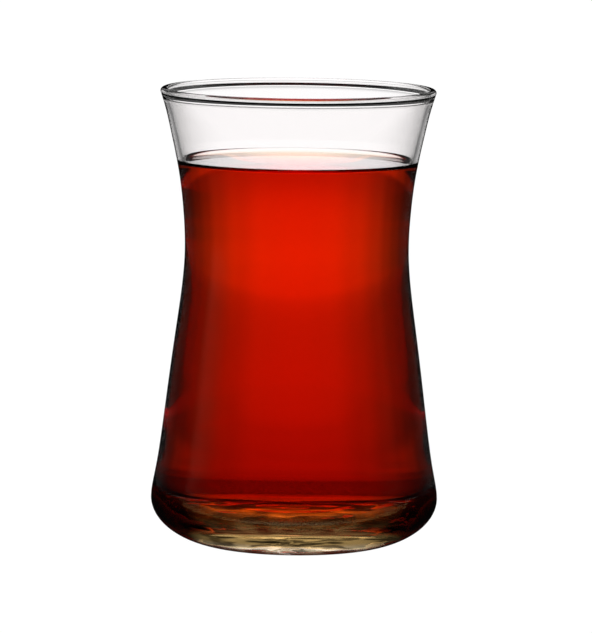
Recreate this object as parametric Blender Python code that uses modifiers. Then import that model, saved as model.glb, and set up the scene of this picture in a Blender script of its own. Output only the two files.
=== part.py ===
"""A waisted tea glass with the tea that stands in it, as served in Turkey.

Metres, +Z up. The origin is the centre of the foot, on the surface that the glass stands on. Both pieces are
turned shapes: the glass is one wall with a thick base and a rounded lip, and the tea fills it to its level.
"""

import math

import bpy
import numpy as np

MM = 0.001

# The outer wall, as heights above the surface and the radii there, from the widest ring up to the lip.
FLANK = (
    (9.4, 27.43),
    (11.5, 27.22),
    (14.5, 26.65),
    (22.0, 25.5),
    (32.0, 24.25),
    (42.0, 22.92),
    (50.0, 21.87),
    (56.5, 21.41),
    (64.0, 21.7),
    (72.0, 22.68),
    (80.0, 24.35),
    (84.5, 25.45),
    (87.3, 26.33),
)
FLANK_RINGS = 20  # rings between the widest ring and the lip
WIDEST = FLANK[0][0]
HEEL_WIDTH = 15.1  # how far the heel comes in from the widest ring to the flat foot
HEEL_RINGS = 9

LIP_RADIUS = 0.7  # the lip is a bead that stands a little into the mouth
LIP_UNDERCUT = 40  # degrees that the bead's rounding goes on under its widest point, inside
LIP_BLEND = 0.46  # height over which the bead runs out into the wall
LIP_RINGS = 8
WALL_AT_FOOT = 2.2
WALL_AT_LIP = 0.85
BASE = 6.3  # thickness of the glass under the tea
CORNER_WIDTH = 6.5  # the hollow's floor turns up into the wall over this width and this height
CORNER_HEIGHT = 5.0
CORNER_RINGS = 6
HOLLOW_RINGS = 16  # rings on the inner wall

TEA_LEVEL = 73.6
TEA_RINGS = 14
CLEARANCE = 0.3  # between the tea and the glass

SIDES = 64  # round each turned piece

GLASS_COLOUR = (0.93, 0.96, 0.94, 1.0)
TEA_COLOUR = (0.45, 0.01, 0.001, 1.0)


def flank_radius(height):
    """Radius of the outer wall at a height, on a smooth cubic through the stations of FLANK."""
    heights, radii = np.array(FLANK).T
    count = len(heights)
    steps = np.diff(heights)
    rises = np.diff(radii) / steps
    # Slopes at the stations, such that the curvature has no jump between two stretches
    system = np.eye(count)
    target = np.empty(count)
    target[0], target[-1] = 0.0, rises[-1]
    for i in range(1, count - 1):
        before, after = steps[i - 1], steps[i]
        system[i, i - 1 : i + 2] = 1 / before, 2 * (1 / before + 1 / after), 1 / after
        target[i] = 3 * (rises[i - 1] / before + rises[i] / after)
    slopes = np.linalg.solve(system, target)

    i = int(np.clip(np.searchsorted(heights, height) - 1, 0, count - 2))
    t = (height - heights[i]) / steps[i]
    return float(
        (2 * t**3 - 3 * t**2 + 1) * radii[i]
        + (t**3 - 2 * t**2 + t) * steps[i] * slopes[i]
        + (3 * t**2 - 2 * t**3) * radii[i + 1]
        + (t**3 - t**2) * steps[i] * slopes[i + 1]
    )


def wall_thickness(height):
    """The wall thins evenly from the base up to the lip."""
    share = (height - WIDEST) / (FLANK[-1][0] - WIDEST)
    return WALL_AT_FOOT + (WALL_AT_LIP - WALL_AT_FOOT) * share


def arc(centre, across, up, start, end, rings):
    """Points on an ellipse's arc about a centre (radius, height), with its angles in degrees from +radius."""
    angles = np.radians(np.linspace(start, end, rings + 1))
    return [(centre[0] + across * math.cos(a), centre[1] + up * math.sin(a)) for a in angles]


def hollow(top, rings, clearance=0.0):
    """Profile of the hollow from a height down to the axis, or of what fills it with a clearance all round."""
    corner_top = BASE + CORNER_HEIGHT
    heights = np.linspace(top, corner_top, rings + 1)[:-1]
    points = [(flank_radius(z) - wall_thickness(z) - clearance, z) for z in heights]
    wall = flank_radius(corner_top) - wall_thickness(corner_top) - clearance
    across, up = CORNER_WIDTH - clearance, CORNER_HEIGHT - clearance
    points += arc((wall - across, corner_top), across, up, 0, -90, CORNER_RINGS)
    return points + [(0.0, BASE + clearance)]


def glass_profile():
    """One section from the hollow's middle up the inner wall, over the lip and down the outer side to the foot."""
    lip_height = FLANK[-1][0]
    lip_centre = flank_radius(lip_height) - LIP_RADIUS
    lip = arc((lip_centre, lip_height), LIP_RADIUS, LIP_RADIUS, 180 + LIP_UNDERCUT, 0, LIP_RINGS)
    heights = np.linspace(lip_height, WIDEST, FLANK_RINGS + 1)[1:-1]
    flank = [(flank_radius(z), z) for z in heights]
    widest = flank_radius(WIDEST)
    heel = arc((widest - HEEL_WIDTH, WIDEST), HEEL_WIDTH, WIDEST, 0, -90, HEEL_RINGS)
    bead_foot = lip_height - LIP_RADIUS * math.sin(math.radians(LIP_UNDERCUT)) - LIP_BLEND
    inside = hollow(bead_foot, HOLLOW_RINGS)
    return inside[::-1] + lip + flank + heel + [(0.0, 0.0)]


def tea_profile():
    """The tea's flat top from the axis to the wall, then its side down to the axis."""
    return [(0.0, TEA_LEVEL)] + hollow(TEA_LEVEL, TEA_RINGS, CLEARANCE)


def finish(name, colour, roughness, transmission):
    """A Principled material."""
    material = bpy.data.materials.new(name)
    material.use_nodes = True
    shader = material.node_tree.nodes["Principled BSDF"]
    shader.inputs["Base Color"].default_value = colour
    shader.inputs["Roughness"].default_value = roughness
    shader.inputs["Metallic"].default_value = 0.0
    shader.inputs["Transmission Weight"].default_value = transmission
    return material


def turned(name, profile, material, collection):
    """Turns a profile of (radius, height) points in millimetres about Z."""
    mesh = bpy.data.meshes.new(name)
    points = [(radius * MM, 0.0, height * MM) for radius, height in profile]
    mesh.from_pydata(points, [(i, i + 1) for i in range(len(points) - 1)], [])
    mesh.materials.append(material)
    piece = bpy.data.objects.new(name, mesh)
    collection.objects.link(piece)
    screw = piece.modifiers.new("Turn", "SCREW")
    screw.axis = "Z"
    screw.angle = math.tau
    screw.steps = screw.render_steps = SIDES
    screw.use_merge_vertices = True
    screw.merge_threshold = 0.00001
    screw.use_smooth_shade = True
    return piece


def main():
    for old in list(bpy.data.objects):
        bpy.data.objects.remove(old, do_unlink=True)
    collection = bpy.data.collections.new("turkish_tea_glass")
    bpy.context.scene.collection.children.link(collection)
    clear_glass = finish("clear soda-lime glass", GLASS_COLOUR, 0.02, 1.0)
    black_tea = finish("brewed black tea", TEA_COLOUR, 0.03, 0.6)
    turned("glass", glass_profile(), clear_glass, collection)
    turned("tea", tea_profile(), black_tea, collection)


main()
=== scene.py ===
"""A waisted Turkish tea glass filled with tea, dressed and lit on a pale floor.

The glass and the tea are turned shapes: a Geometry Nodes tree sweeps a profile in millimetres round the axis
and presses the uneven ripple into the hollow's floor. Everything is in metres, +Z up, with the centre of the
foot at the origin.
"""

import logging
import math
from dataclasses import dataclass, field
from enum import Enum
from typing import Any

import bpy
import numpy as np
from mathutils import Matrix, Vector


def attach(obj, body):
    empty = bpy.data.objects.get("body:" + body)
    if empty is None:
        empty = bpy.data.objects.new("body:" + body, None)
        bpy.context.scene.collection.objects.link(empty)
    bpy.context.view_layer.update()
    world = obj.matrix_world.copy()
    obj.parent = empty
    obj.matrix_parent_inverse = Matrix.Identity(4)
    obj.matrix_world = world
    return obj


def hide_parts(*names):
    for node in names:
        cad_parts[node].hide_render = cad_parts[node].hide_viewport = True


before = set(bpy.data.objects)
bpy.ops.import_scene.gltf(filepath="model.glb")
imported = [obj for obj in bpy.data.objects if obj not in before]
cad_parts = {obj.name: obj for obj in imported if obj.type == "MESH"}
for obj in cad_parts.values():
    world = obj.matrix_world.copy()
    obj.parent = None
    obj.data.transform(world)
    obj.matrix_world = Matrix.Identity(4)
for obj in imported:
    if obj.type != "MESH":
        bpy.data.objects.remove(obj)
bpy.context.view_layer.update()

MM = 0.001
Point = tuple[float, float]
Profile = list[tuple[float, float, "Surface"]]
WAVE_PERIOD = math.tau / 20  # distance from crest to crest in a wave texture at a scale of 1

log = logging.getLogger("tea_glass")


def linear(code: str) -> tuple[float, float, float, float]:
    """Turns an sRGB hex colour into the linear colour that a shader takes.

    Args:
        code: Six hex digits, red first.

    Returns:
        Red, green, blue and an alpha of 1.
    """
    shares = [int(code[i : i + 2], 16) / 255 for i in (0, 2, 4)]
    red, green, blue = (s / 12.92 if s <= 0.04045 else ((s + 0.055) / 1.055) ** 2.4 for s in shares)
    return red, green, blue, 1.0


def add(
    tree: bpy.types.NodeTree,
    kind: str,
    settings: dict[str, Any] | None = None,
    inputs: dict[Any, Any] | None = None,
) -> bpy.types.Node:
    """Adds a node with its settings and links.

    Args:
        tree: The tree that takes the node.
        kind: The node's type name.
        settings: Its properties by name.
        inputs: What each input gets, by name or number: a socket is linked, and a value is set.

    Returns:
        The new node.
    """
    node = tree.nodes.new(kind)
    for name, value in (settings or {}).items():
        setattr(node, name, value)
    for key, value in (inputs or {}).items():
        if isinstance(value, bpy.types.NodeSocket):
            tree.links.new(value, node.inputs[key])
        else:
            node.inputs[key].default_value = value
    return node


class Surface(Enum):
    """Which stretch of a profile a point belongs to, as its weights for wetness, ripple and stipple."""

    DRY = (0.0, 0.0, 0.0)
    WET = (1.0, 0.0, 0.0)
    FLOOR = (1.0, 1.0, 0.0)
    FOOT = (0.0, 0.0, 1.0)


ATTRIBUTES = ("wet", "ripple", "stipple")  # names of a profile point's weights, in the order of Surface


@dataclass(frozen=True)
class Outline:
    """Sizes of the glass, in millimetres, the same as the solid's.

    The flank is a smooth cubic through a few stations (height, radius), from the widest ring up to the lip.
    The lip, the heel and the hollow's corner are arcs.
    """

    flank: tuple[Point, ...] = (
        (9.4, 27.43),
        (11.5, 27.22),
        (14.5, 26.65),
        (22.0, 25.5),
        (32.0, 24.25),
        (42.0, 22.92),
        (50.0, 21.87),
        (56.5, 21.41),
        (64.0, 21.7),
        (72.0, 22.68),
        (80.0, 24.35),
        (84.5, 25.45),
        (87.3, 26.33),
    )
    heel_width: float = 15.1  # how far the heel comes in from the widest ring to the flat foot
    foot_rise: float = 1.6  # height up to which the foot's stipple and its painted glow reach
    lip_radius: float = 0.7
    lip_undercut: float = 40.0  # degrees that the bead's rounding goes on under its widest point, inside
    lip_blend: float = 0.46  # height over which the bead runs out into the wall
    wall_at_foot: float = 2.2
    wall_at_lip: float = 0.85
    base: float = 6.3  # thickness of the glass under the tea
    corner_width: float = 6.5  # the hollow's floor turns up into the wall over this width and this height
    corner_height: float = 5.0
    tea_level: float = 73.6
    meniscus: float = 0.8  # how far the tea climbs the wall

    @property
    def widest(self) -> float:
        """Height of the widest ring, where the heel starts."""
        return self.flank[0][0]

    @property
    def lip_height(self) -> float:
        """Height of the lip's rounding centre."""
        return self.flank[-1][0]

    def outer(self, height: float) -> float:
        """Gives the outer wall's radius, on a smooth cubic through the flank's stations.

        Args:
            height: A height between the widest ring and the lip.

        Returns:
            The radius.
        """
        heights, radii = np.array(self.flank).T
        count = len(heights)
        steps = np.diff(heights)
        rises = np.diff(radii) / steps
        # Slopes at the stations, such that the curvature has no jump between two stretches
        system, target = np.eye(count), np.zeros(count)
        target[-1] = rises[-1]
        for i in range(1, count - 1):
            before, after = steps[i - 1], steps[i]
            system[i, i - 1 : i + 2] = 1 / before, 2 * (1 / before + 1 / after), 1 / after
            target[i] = 3 * (rises[i - 1] / before + rises[i] / after)
        slopes = np.linalg.solve(system, target)
        i = int(np.clip(np.searchsorted(heights, height) - 1, 0, count - 2))
        t = (height - heights[i]) / steps[i]
        blend = (2 * t**3 - 3 * t**2 + 1, 3 * t**2 - 2 * t**3)
        ease = (t**3 - 2 * t**2 + t, t**3 - t**2)
        return float(
            blend[0] * radii[i] + blend[1] * radii[i + 1]
            + steps[i] * (ease[0] * slopes[i] + ease[1] * slopes[i + 1])
        )

    def inner(self, height: float) -> float:
        """Gives the hollow's radius: the wall thins evenly from the base up to the lip.

        Args:
            height: A height on the inner wall.

        Returns:
            The radius.
        """
        share = (height - self.widest) / (self.lip_height - self.widest)
        return self.outer(height) - (self.wall_at_foot + (self.wall_at_lip - self.wall_at_foot) * share)

    @property
    def lip_foot(self) -> float:
        """Height where the lip's bead has run out into the inner wall."""
        return self.lip_height - self.lip_radius * math.sin(math.radians(self.lip_undercut)) - self.lip_blend

    @property
    def waterline(self) -> float:
        """Height where the tea's edge meets the wall."""
        return self.tea_level + self.meniscus

    def wetted(
        self, spread: float = 0.0, rings: int = 80, corner_rings: int = 16, floor_rings: int = 64
    ) -> Profile:
        """Gives the profile of the hollow from the waterline down to the axis.

        Args:
            spread: How far it is pushed out into the glass, for what fills the hollow.
            rings: Rings on the wall.
            corner_rings: Rings on the corner under it.
            floor_rings: Rings on the flat floor.

        Returns:
            Points from the wall to the axis.
        """
        corner_top = self.base + self.corner_height
        wall = [(self.inner(z) + spread, z) for z in np.linspace(self.waterline, corner_top, rings + 1)[:-1]]
        across, up = self.corner_width + spread, self.corner_height + spread
        centre = (self.inner(corner_top) + spread - across, corner_top)
        wall += arc(centre, across, up, 0, -90, corner_rings)
        floor = [(r, self.base - spread) for r in np.linspace(centre[0], 0, floor_rings + 1)[1:]]
        return [(*point, Surface.WET) for point in wall] + [(*point, Surface.FLOOR) for point in floor]


def arc(centre: Point, across: float, up: float, start: float, end: float, steps: int) -> list[Point]:
    """Gives points on an ellipse's arc.

    Args:
        centre: Its centre as (radius, height).
        across: Half its width.
        up: Half its height.
        start: First angle in degrees, from +radius.
        end: Last angle.
        steps: Stretches between the points.

    Returns:
        Points (radius, height).
    """
    angles = np.radians(np.linspace(start, end, steps + 1))
    return [(centre[0] + across * math.cos(a), centre[1] + up * math.sin(a)) for a in angles]


@dataclass
class Lathe:
    """Turns a profile about Z with a Geometry Nodes tree and presses a ripple into the rings that carry one.

    The ripple's depth and its spacing are in millimetres.
    """

    sides: int = 240
    ripple_depth: float = 0.12
    ripple_spacing: float = 9.0
    tree: bpy.types.NodeTree = field(init=False)

    def __post_init__(self) -> None:
        """Builds the tree once, for every piece that it turns."""
        self.tree = self.build_tree()

    def build_tree(self) -> bpy.types.NodeTree:
        """Builds the turning tree.

        A grid has one row for each point of the profile and one column for each side. Each of its points
        takes the radius and the height of its profile point and the angle of its column.

        Returns:
            The tree, with its sizes as named inputs.
        """
        tree = bpy.data.node_groups.new("Turned on a lathe", "GeometryNodeTree")
        sockets = (
            ("Profile", "NodeSocketGeometry"),
            ("Sides", "NodeSocketInt"),
            ("Ripple Depth", "NodeSocketFloat"),
            ("Ripple Spacing", "NodeSocketFloat"),
            ("Dry Material", "NodeSocketMaterial"),
            ("Wet Material", "NodeSocketMaterial"),
            ("Foot Material", "NodeSocketMaterial"),
        )
        for name, kind in sockets:
            tree.interface.new_socket(name=name, in_out="INPUT", socket_type=kind)
        tree.interface.new_socket(name="Turned", in_out="OUTPUT", socket_type="NodeSocketGeometry")
        given = add(tree, "NodeGroupInput").outputs
        maths, vector = "ShaderNodeMath", "ShaderNodeVectorMath"
        times, over, plus = {"operation": "MULTIPLY"}, {"operation": "DIVIDE"}, {"operation": "ADD"}
        size = add(
            tree, "GeometryNodeAttributeDomainSize", {"component": "MESH"}, {"Geometry": given["Profile"]}
        ).outputs["Point Count"]
        columns = add(tree, maths, plus, {0: given["Sides"], 1: 1.0}).outputs[0]
        grid = add(
            tree,
            "GeometryNodeMeshGrid",
            inputs={"Size X": 1.0, "Size Y": 1.0, "Vertices X": size, "Vertices Y": columns},
        )
        index = add(tree, "GeometryNodeInputIndex").outputs[0]
        row = add(tree, maths, over, {0: index, 1: columns}).outputs[0]
        ring = add(tree, maths, {"operation": "FLOOR"}, {0: row}).outputs[0]
        column = add(tree, maths, {"operation": "MODULO"}, {0: index, 1: columns}).outputs[0]
        turn = add(
            tree,
            "ShaderNodeMapRange",
            inputs={"Value": column, "From Max": given["Sides"], "To Max": math.tau},
        ).outputs[0]
        sampled = []
        place = add(tree, "GeometryNodeInputPosition").outputs[0]
        stored = [
            add(tree, "GeometryNodeInputNamedAttribute", {"data_type": "FLOAT"}, {"Name": name}).outputs[0]
            for name in ATTRIBUTES
        ]
        for kind, value in (("FLOAT_VECTOR", place), *(("FLOAT", weight) for weight in stored)):
            inputs = {"Geometry": given["Profile"], "Value": value, "Index": ring}
            sample = add(tree, "GeometryNodeSampleIndex", {"data_type": kind, "domain": "POINT"}, inputs)
            sampled.append(sample.outputs[0])
        point, wet, rippled, stippled = sampled
        turned = add(
            tree, "ShaderNodeVectorRotate", {"rotation_type": "Z_AXIS"}, {"Vector": point, "Angle": turn}
        ).outputs[0]
        flat = add(tree, vector, times, {0: turned, 1: (1.0, 1.0, 0.0)}).outputs[0]
        # Glass that set while it was pressed: uneven rings about the axis, broken up by a slow swirl
        scale = add(tree, maths, over, {0: 1.0, 1: given["Ripple Spacing"]}).outputs[0]
        half = add(tree, maths, times, {0: scale, 1: 0.5}).outputs[0]
        swirl = add(
            tree,
            "ShaderNodeTexNoise",
            inputs={"Vector": flat, "Scale": scale, "Detail": 2.0, "Roughness": 0.5, "Distortion": 1.2},
        ).outputs[0]
        rings = add(
            tree,
            "ShaderNodeTexWave",
            {"wave_type": "RINGS", "rings_direction": "Z"},
            {"Vector": flat, "Scale": half, "Distortion": 4.0, "Detail": 2.0},
        ).outputs["Fac"]
        relief = add(tree, maths, {"operation": "MULTIPLY_ADD"}, {0: rings, 1: 0.5, 2: -0.75}).outputs[0]
        relief = add(tree, maths, plus, {0: relief, 1: swirl}).outputs[0]
        for factor in (given["Ripple Depth"], rippled):
            relief = add(tree, maths, times, {0: relief, 1: factor}).outputs[0]
        lift = add(tree, "ShaderNodeCombineXYZ", inputs={"Z": relief}).outputs[0]
        moved = add(tree, vector, plus, {0: turned, 1: lift}).outputs[0]
        wetted, footed = (
            add(tree, maths, {"operation": "GREATER_THAN"}, {0: weight, 1: 0.75}).outputs[0]
            for weight in (wet, stippled)
        )
        # The seam and the poles are merged before the materials go on, so each face keeps its stretch by name
        steps = [("GeometryNodeSetPosition", {}, {"Position": moved})]
        choices = []
        for name, chosen in (("is wet", wetted), ("is foot", footed)):
            kept = {"data_type": "BOOLEAN", "domain": "FACE"}
            steps.append(("GeometryNodeStoreNamedAttribute", kept, {"Name": name, "Value": chosen}))
            named = add(tree, "GeometryNodeInputNamedAttribute", {"data_type": "BOOLEAN"}, {"Name": name})
            choices.append(named.outputs[0])
        steps += [
            ("GeometryNodeMergeByDistance", {}, {"Distance": 1e-6}),
            ("GeometryNodeSetShadeSmooth", {}, {}),
            ("GeometryNodeRealizeInstances", {}, {}),
            ("GeometryNodeSetMaterial", {}, {"Material": given["Dry Material"]}),
            ("GeometryNodeSetMaterial", {}, {"Selection": choices[0], "Material": given["Wet Material"]}),
            ("GeometryNodeSetMaterial", {}, {"Selection": choices[1], "Material": given["Foot Material"]}),
        ]
        shape = grid.outputs[0]
        for kind, settings, inputs in steps:
            shape = add(tree, kind, settings, {"Geometry": shape, **inputs}).outputs[0]
        add(tree, "NodeGroupOutput", inputs={"Turned": shape})
        return tree

    def turn(self, name: str, profile: Profile, finishes: dict[str, bpy.types.Material]) -> bpy.types.Object:
        """Turns one piece.

        Args:
            name: The piece's name.
            profile: Points (radius, height, surface) in millimetres.
            finishes: Its materials, by the name of the tree's input that takes each.

        Returns:
            The piece as a plain mesh object.
        """
        mesh = bpy.data.meshes.new(name)
        mesh.from_pydata(
            [(r * MM, 0.0, z * MM) for r, z, _ in profile], [(i, i + 1) for i in range(len(profile) - 1)], []
        )
        for i, attribute in enumerate(ATTRIBUTES):
            weights = mesh.attributes.new(attribute, "FLOAT", "POINT")
            weights.data.foreach_set("value", [surface.value[i] for _, _, surface in profile])
        piece = bpy.data.objects.new(name, mesh)
        bpy.context.scene.collection.objects.link(piece)
        lathe = piece.modifiers.new("Lathe", "NODES")
        lathe.node_group = self.tree
        values = {
            "Sides": self.sides,
            "Ripple Depth": self.ripple_depth * MM,
            "Ripple Spacing": self.ripple_spacing * MM,
            **finishes,
        }
        for item in self.tree.interface.items_tree:
            if item.in_out == "INPUT" and item.name in values:
                lathe[item.identifier] = values[item.name]
        graph = bpy.context.evaluated_depsgraph_get()
        turned = bpy.data.meshes.new_from_object(piece.evaluated_get(graph), depsgraph=graph)
        piece.modifiers.remove(lathe)
        piece.data = turned
        turned.name = name
        return piece


@dataclass(frozen=True)
class Band:
    """A colour that comes in smoothly over its rise and goes out over its fall, in millimetres of height."""

    rise: Point
    fall: Point
    colour: str

    def over(
        self, tree: bpy.types.NodeTree, height: bpy.types.NodeSocket, under: Any
    ) -> bpy.types.NodeSocket:
        """Lays the band over a colour.

        Args:
            tree: The material's tree.
            height: The height of the shaded point, in metres.
            under: The colour that it is laid over, as a value or a socket.

        Returns:
            The banded colour.
        """
        share: Any = 1.0
        for start, end in (self.rise, self.fall):
            edge = add(
                tree,
                "ShaderNodeMapRange",
                {"interpolation_type": "SMOOTHSTEP"},
                {"Value": height, "From Min": start * MM, "From Max": end * MM},
            ).outputs[0]
            share = add(tree, "ShaderNodeMath", {"operation": "MULTIPLY"}, {0: share, 1: edge}).outputs[0]
        inputs = {"Factor": share, 6: under, 7: linear(self.colour)}
        return add(tree, "ShaderNodeMix", {"data_type": "RGBA"}, inputs).outputs[2]


@dataclass(frozen=True)
class SodaLimeGlass:
    """Pressed and fire-polished soda-lime glass: clear and almost colourless.

    Its bands of colour are painted light and shade at a few heights: painted shade in the hollow's corner,
    where the wetted wall turns into the floor, a painted dark line of shade at the root of the lip's bead,
    and painted amber light from the tea on the heel. The foot is stippled and glows faintly with painted
    light, between two strengths, and the painted glow fades out between two radii in millimetres.
    """

    ior: float = 1.5
    tint: str = "FEFCFC"
    # Painted shade: a dark band in the hollow's corner, where the wetted wall turns into the floor
    painted_corner_shade: Band = Band((6.25, 6.4), (9.8, 8.4), "4A382C")
    # Painted shade: a thin dark line at the root of the lip's bead, under the rim
    root: Band = Band((86.75, 86.85), (87.15, 87.05), "303230")
    # Painted light: amber on the heel between these heights stands for the tea's light coming through the
    # glass
    heel: Band = Band((1.5, 3.5), (11.0, 8.5), "D8A860")
    waviness: float = 9.0  # millimetres from crest to crest
    waviness_depth: float = 0.2
    ring_spacing: float = 5.94
    # Painted light: the foot's glow between two strengths, though the foot is no lamp
    painted_glow: tuple[float, float] = (0.12, 0.55)
    stipple: tuple[float, float] = (4.0, 17.0)
    painted_glow_colour: str = "FFF0C8"

    def material(self, surface: Surface = Surface.DRY) -> bpy.types.Material:
        """Builds the glass's material.

        Args:
            surface: Which stretch it is for. A wetted face hardly mirrors, as tea bends light nearly as glass
            does. The foot is stippled underneath, and it glows with painted light that stands for the light
            of the table that it stands on.

        Returns:
            The material.
        """
        kinds = {Surface.DRY: "Fire-polished", Surface.WET: "Tea-wetted", Surface.FOOT: "Painted-glow stippled"}
        material = bpy.data.materials.new(f"{kinds[surface]} soda-lime glass")
        material.use_nodes = True
        tree = material.node_tree
        tree.nodes.clear()
        place = add(tree, "ShaderNodeTexCoord").outputs["Object"]
        # The mould leaves a very low waviness, which makes the edges' lines a little uneven
        wave = add(
            tree,
            "ShaderNodeTexNoise",
            inputs={"Vector": place, "Scale": 1 / (self.waviness * MM), "Detail": 1.0},
        )
        bump = add(
            tree,
            "ShaderNodeBump",
            inputs={"Strength": 0.02, "Distance": self.waviness_depth * MM, "Height": wave.outputs[0]},
        )
        # Fire-polishing leaves no grain at all, so the walls vanish and only the edges and the lip draw lines
        shader = add(
            tree,
            "ShaderNodeBsdfPrincipled",
            inputs={
                "Base Color": linear(self.tint),
                "Roughness": 0.0,
                "IOR": self.ior,
                "Specular Tint": linear("000000" if surface is Surface.WET else "FFFFFF"),
                "Transmission Weight": 1.0,
                "Normal": bump.outputs[0],
            },
        )
        add(tree, "ShaderNodeOutputMaterial", inputs={"Surface": shader.outputs[0]})
        # Painted shade in the hollow's corner dims what shows through the lowest wall. A painted dark line of
        #  shade at the root of the lip's bead stands for the light that the bead bends away, under the rim.
        #  Painted amber light on the heel stands for the tea's light.
        bands = {Surface.WET: (self.painted_corner_shade,), Surface.DRY: (self.root, self.heel), Surface.FOOT: ()}
        height = add(tree, "ShaderNodeSeparateXYZ", inputs={0: place}).outputs["Z"]
        colour: Any = linear(self.tint)
        for band in bands[surface]:
            colour = band.over(tree, height, colour)
        if bands[surface]:
            tree.links.new(colour, shader.inputs["Base Color"])
        if surface is not Surface.FOOT:
            return material
        # Painted light on the foot: its glow comes in uneven rings about the axis, like the pressed glass's
        # shear marks, brighter where the stipple is coarse, and fades out between the stipple's radii
        rings = add(
            tree,
            "ShaderNodeTexWave",
            {"wave_type": "RINGS", "rings_direction": "Z"},
            {
                "Vector": place,
                "Scale": WAVE_PERIOD / (self.ring_spacing * MM),
                "Distortion": 9.0,
                "Detail": 3.0,
                "Detail Scale": 1.3,
                "Detail Roughness": 0.65,
            },
        )
        vector = "ShaderNodeVectorMath"
        flat = add(tree, vector, {"operation": "MULTIPLY"}, {0: place, 1: (1.0, 1.0, 0.0)}).outputs[0]
        radius = add(tree, vector, {"operation": "LENGTH"}, {0: flat}).outputs["Value"]
        strength: Any = 1.0
        for value, (start, end), (low, high) in (
            (rings.outputs["Fac"], (0.1, 0.95), self.painted_glow),
            (radius, (self.stipple[0] * MM, self.stipple[1] * MM), (1.0, 0.0)),
        ):
            inputs = {"Value": value, "From Min": start, "From Max": end, "To Min": low, "To Max": high}
            part = add(tree, "ShaderNodeMapRange", {"interpolation_type": "SMOOTHSTEP"}, inputs).outputs[0]
            inputs = {0: strength, 1: part}
            strength = add(tree, "ShaderNodeMath", {"operation": "MULTIPLY"}, inputs).outputs[0]
        # The foot glows with painted light, in place of the table's light through its stipple
        shader.inputs["Emission Color"].default_value = linear(self.painted_glow_colour)
        tree.links.new(strength, shader.inputs["Emission Strength"])
        return material


@dataclass(frozen=True)
class BrewedTea:
    """Clear brewed black tea. It absorbs blue most, then green: red through the body, amber where it is thin.

    The density is in the tint's absorptions for each metre.
    """

    ior: float = 1.333
    tint: str = "FCCB24"
    density: float = 275.0

    def material(self) -> bpy.types.Material:
        """Builds the tea's material.

        Returns:
            The material.
        """
        material = bpy.data.materials.new("Brewed black tea")
        material.use_nodes = True
        tree = material.node_tree
        tree.nodes.clear()
        # Its colour is all in its depth: the skin has none and hardly mirrors, which keeps the red deep
        shader = add(
            tree,
            "ShaderNodeBsdfPrincipled",
            inputs={
                "Base Color": (1.0, 1.0, 1.0, 1.0),
                "Roughness": 0.0,
                "IOR": self.ior,
                "Specular Tint": (0.0, 0.0, 0.0, 1.0),
                "Transmission Weight": 1.0,
            },
        )
        volume = add(
            tree, "ShaderNodeVolumeAbsorption", inputs={"Color": linear(self.tint), "Density": self.density}
        )
        add(
            tree,
            "ShaderNodeOutputMaterial",
            inputs={"Surface": shader.outputs[0], "Volume": volume.outputs[0]},
        )
        return material


@dataclass
class Glass:
    """The glass itself: lip, flank, heel, flat foot and the hollow with its rippled floor."""

    outline: Outline
    finish: SodaLimeGlass
    lip_steps: int = 24
    dry_rings: int = 16
    flank_rings: int = 80
    heel_rings: int = 32
    foot_rings: int = 8

    def profile(self) -> Profile:
        """Draws the closed section from the axis up the hollow, over the lip and down to the foot.

        Returns:
            Its points.
        """
        o = self.outline
        dry = [(o.inner(z), z) for z in np.linspace(o.waterline, o.lip_foot, self.dry_rings + 1)[1:]]
        lip_centre = (o.outer(o.lip_height) - o.lip_radius, o.lip_height)
        lip = arc(lip_centre, o.lip_radius, o.lip_radius, 180 + o.lip_undercut, 0, self.lip_steps)
        flank = [(o.outer(z), z) for z in np.linspace(o.lip_height, o.widest, self.flank_rings + 1)[1:-1]]
        heel_centre = (o.outer(o.widest) - o.heel_width, o.widest)
        heel = arc(heel_centre, o.heel_width, o.widest, 0, -90, self.heel_rings)
        foot = [point for point in heel if point[1] < o.foot_rise]
        foot += [(r, 0.0) for r in np.linspace(heel_centre[0], 0, self.foot_rings + 1)[1:]]
        polished = dry + lip + flank + [point for point in heel if point[1] >= o.foot_rise]
        outside = [(*point, Surface.DRY) for point in polished]
        outside += [(*point, Surface.FOOT) for point in foot]
        return o.wetted()[::-1] + outside

    def build(self, lathe: Lathe) -> bpy.types.Object:
        """Turns the glass and lets it stand for its solid.

        Args:
            lathe: What turns it.

        Returns:
            The piece.
        """
        finishes = {
            "Dry Material": self.finish.material(),
            "Wet Material": self.finish.material(Surface.WET),
            "Foot Material": self.finish.material(Surface.FOOT),
        }
        piece = lathe.turn("glass_wall", self.profile(), finishes)
        piece.visible_diffuse = False
        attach(piece, "root")
        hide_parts("glass")
        return piece


@dataclass
class Tea:
    """The tea: it reaches a little into the wall, so that no air shows, and climbs it in a meniscus."""

    outline: Outline
    finish: BrewedTea
    spread: float = 0.08
    meniscus_reach: float = 0.35
    surface_rings: int = 60

    def profile(self) -> Profile:
        """Draws the section from the axis over the surface to the wall, then down the hollow to the axis.

        Returns:
            Its points.
        """
        o = self.outline
        edge = o.inner(o.waterline)
        # Rings crowd towards the wall, where the surface curves
        shares = 1 - (1 - np.linspace(0, 1, self.surface_rings + 1)) ** 2.0
        climbs = [o.meniscus * math.exp(edge * (s - 1) / self.meniscus_reach) for s in shares]
        surface = [(edge * s, o.tea_level + climb, Surface.DRY) for s, climb in zip(shares, climbs)]
        return surface + o.wetted(self.spread)

    def build(self, lathe: Lathe) -> bpy.types.Object:
        """Turns the tea and lets it stand for its solid.

        Args:
            lathe: What turns it.

        Returns:
            The piece.
        """
        tea = self.finish.material()
        piece = lathe.turn("tea_body", self.profile(), {"Dry Material": tea, "Wet Material": tea})
        piece.visible_diffuse = False
        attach(piece, "root")
        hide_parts("tea")
        return piece


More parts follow.
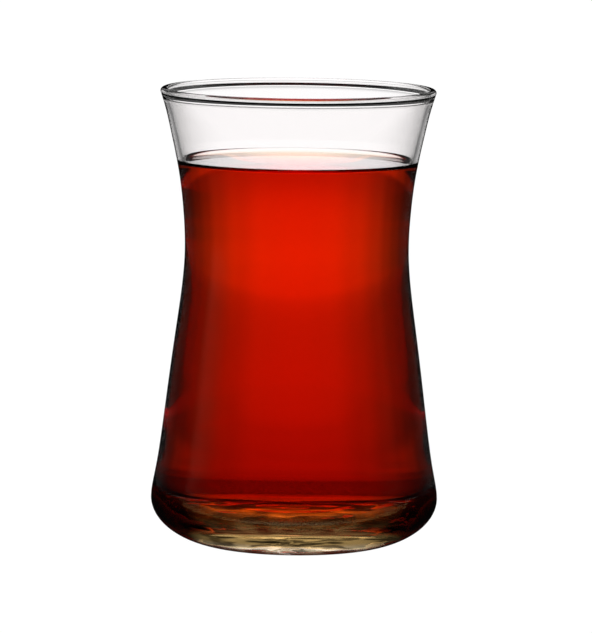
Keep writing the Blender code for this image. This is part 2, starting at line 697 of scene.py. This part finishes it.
@dataclass(frozen=True)
class Sheet:
    """A sheet of light, far off. Its brightness is one number by the angle across times one by the angle up.

    Both are stops of (degrees, brightness): across from the sheet's middle to both sides, and up from the
    horizon.
    """

    name: str
    azimuth: float
    across: tuple[Point, ...]
    up: tuple[Point, ...]


ALL_ROUND = ((0.0, 1.0), (180.0, 1.0))

SHEETS = (
    Sheet(
        "back wall, brightest behind the glass, with dark flags above it",
        0.0,
        (
            (0, 1.12), (8, 1.08), (16, 0.84), (24, 0.55), (30, 0.34),
            (37, 0.2), (46, 0.1), (70, 0.08), (84, 0.3), (180, 0.3),
        ),
        (
            (-24, 1.0), (-18, 1.0), (-15.5, 0.44), (-13, 0.51), (-12, 0.66), (-10.8, 0.92), (-7, 1.0),
            (-3, 0.95), (2, 0.66), (3.3, 0.6), (4.3, 1.45), (5.8, 1.45), (6.6, 0.04), (14, 0.06), (20, 0.1),
            (32, 0.03), (48, 0.06), (60, 0.3), (90, 0.4),
        ),
    ),
    Sheet(
        "table top behind the glass",
        0.0,
        ALL_ROUND,
        ((-90, 0.4), (-76, 0.3), (-68, 0.04), (-52, 0.04), (-43, 1.2), (-28, 1.2), (-20, 0.0)),
    ),
    Sheet(
        "table top to the sides",
        0.0,
        ((26, 0.0), (38, 1.0), (180, 1.0)),
        ((-90, 1.0), (-32, 0.9), (-24, 0.0)),
    ),
    Sheet("ceiling", 0.0, ALL_ROUND, ((70, 0.0), (84, 0.3))),
    Sheet(
        "left wall",
        -90.0,
        ((0, 1.1), (8, 1.0), (20, 0.0)),
        ((-12, 0.0), (-7, 1.0), (4, 1.0), (8, 0.0)),
    ),
    Sheet(
        "front corner, low",
        135.0,
        ((14, 0.9), (24, 0.0)),
        ((-30, 1.0), (-8, 1.0), (-4, 0.0)),
    ),
)


@dataclass(frozen=True)
class Studio:
    """A pale plain floor and soft light from large sheets, with dark gaps that draw the glass's edges.

    What comes through the glass is lit by the sheets and a little by the room. The camera, the floor and the
    mirrored rays each get a plain light of their own strength.
    """

    sheets: tuple[Sheet, ...] = SHEETS
    floor_radius: float = 3.0
    floor_colour: str = "FAFAFA"
    room: str = "0C0E0C"
    to_camera: float = 1.05
    to_floor: float = 1.06
    to_reflections: float = 0.004

    def floor(self) -> bpy.types.Object:
        """Builds the floor. It is lit and seen plainly, and only the sheets show through the glass.

        Returns:
            The floor.
        """
        bpy.ops.mesh.primitive_circle_add(vertices=64, radius=self.floor_radius, fill_type="NGON")
        floor = bpy.context.object
        floor.name = "studio_floor"
        material = bpy.data.materials.new("Matt white board")
        material.use_nodes = True
        # Matt board has no sheen, so the ground stays one plain white
        shader = material.node_tree.nodes["Principled BSDF"]
        shader.inputs["Base Color"].default_value = linear(self.floor_colour)
        shader.inputs["Roughness"].default_value = 0.9
        shader.inputs["Specular IOR Level"].default_value = 0.0
        floor.data.materials.append(material)
        floor.visible_transmission = False
        floor.visible_glossy = False
        return floor

    def light(self) -> None:
        """Builds the world: what passes through the glass sees the sheets, and other rays see plain light."""
        world = bpy.data.worlds.new("Soft sheets")
        bpy.context.scene.world = world
        world.use_nodes = True
        tree = world.node_tree
        tree.nodes.clear()
        maths, times = "ShaderNodeMath", {"operation": "MULTIPLY"}
        direction = add(tree, "ShaderNodeTexCoord").outputs["Generated"]
        x, y, z = add(tree, "ShaderNodeSeparateXYZ", inputs={0: direction}).outputs
        rise = add(tree, maths, {"operation": "ARCSINE"}, {0: z}).outputs[0]
        turn = add(tree, maths, {"operation": "ARCTAN2"}, {0: x, 1: y}).outputs[0]
        elevation, azimuth = (
            add(tree, maths, {"operation": "DEGREES"}, {0: radians}).outputs[0] for radians in (rise, turn)
        )
        brightness: Any = 0.0
        for sheet in self.sheets:
            offset = azimuth
            for operation, *limits in (("SUBTRACT", sheet.azimuth), ("WRAP", 180.0, -180.0), ("ABSOLUTE",)):
                inputs = {0: offset, **{i + 1: limit for i, limit in enumerate(limits)}}
                offset = add(tree, maths, {"operation": operation}, inputs).outputs[0]
            share: Any = 1.0
            for angle, stops in ((offset, sheet.across), (elevation, sheet.up)):
                low, high = stops[0][0], stops[-1][0]
                inputs = {"Value": angle, "From Min": low, "From Max": high}
                along = add(tree, "ShaderNodeMapRange", inputs=inputs).outputs[0]
                curve = add(tree, "ShaderNodeValToRGB", inputs={0: along})
                curve.color_ramp.interpolation = "EASE"
                elements = curve.color_ramp.elements
                for at, _ in stops[1:-1]:
                    elements.new((at - low) / (high - low))
                for element, (_, grey) in zip(elements, stops):
                    element.color = (grey, grey, grey, 1.0)
                share = add(tree, maths, times, {0: share, 1: curve.outputs[0]}).outputs[0]
            brightness = add(tree, maths, {"operation": "MAXIMUM"}, {0: brightness, 1: share}).outputs[0]
        path = add(tree, "ShaderNodeLightPath").outputs
        strength: Any = 0.0
        for kind, level in (
            ("Is Transmission Ray", brightness),
            ("Is Camera Ray", self.to_camera),
            ("Is Diffuse Ray", self.to_floor),
            ("Is Glossy Ray", self.to_reflections),
        ):
            inputs = {0: path[kind], 1: level, 2: strength}
            strength = add(tree, maths, {"operation": "MULTIPLY_ADD"}, inputs).outputs[0]
        sheets = add(tree, "ShaderNodeBackground", inputs={"Color": linear("FFFFFF"), "Strength": strength})
        room = add(
            tree,
            "ShaderNodeBackground",
            inputs={"Color": linear(self.room), "Strength": path["Is Transmission Ray"]},
        )
        both = add(tree, "ShaderNodeAddShader", inputs={0: sheets.outputs[0], 1: room.outputs[0]})
        add(tree, "ShaderNodeOutputWorld", inputs={"Surface": both.outputs[0]})


@dataclass(frozen=True)
class Camera:
    """The photograph's view: a long lens a little above the rim, turned by a fraction of a degree."""

    distance: float = 1.4
    height: float = 0.1968
    aim: tuple[float, float, float] = (0.0, 0.0, 0.04417)
    lens: float = 418.6
    roll: float = 0.65

    def build(self) -> bpy.types.Object:
        """Places the camera.

        Returns:
            The camera.
        """
        data = bpy.data.cameras.new("Camera")
        data.lens = self.lens
        data.clip_start, data.clip_end = 0.05, 20.0
        camera = bpy.data.objects.new("Camera", data)
        bpy.context.scene.collection.objects.link(camera)
        place = Vector((0.0, -self.distance, self.height))
        look = (Vector(self.aim) - place).to_track_quat("-Z", "Y").to_matrix().to_4x4()
        roll = Matrix.Rotation(math.radians(self.roll), 4, "Z")
        camera.matrix_world = Matrix.Translation(place) @ look @ roll
        bpy.context.scene.camera = camera
        return camera


def main() -> None:
    """Builds the camera, the studio and the two pieces."""
    logging.basicConfig(level=logging.INFO, format="%(name)s: %(message)s")
    bpy.context.scene.view_settings.view_transform = "Standard"
    Camera().build()
    studio = Studio()
    studio.floor()
    studio.light()
    outline = Outline()
    lathe = Lathe()
    for part in (Glass(outline, SodaLimeGlass()), Tea(outline, BrewedTea())):
        piece = part.build(lathe)
        log.info("%s: %d faces", piece.name, len(piece.data.polygons))


if __name__ == "__main__":
    main()
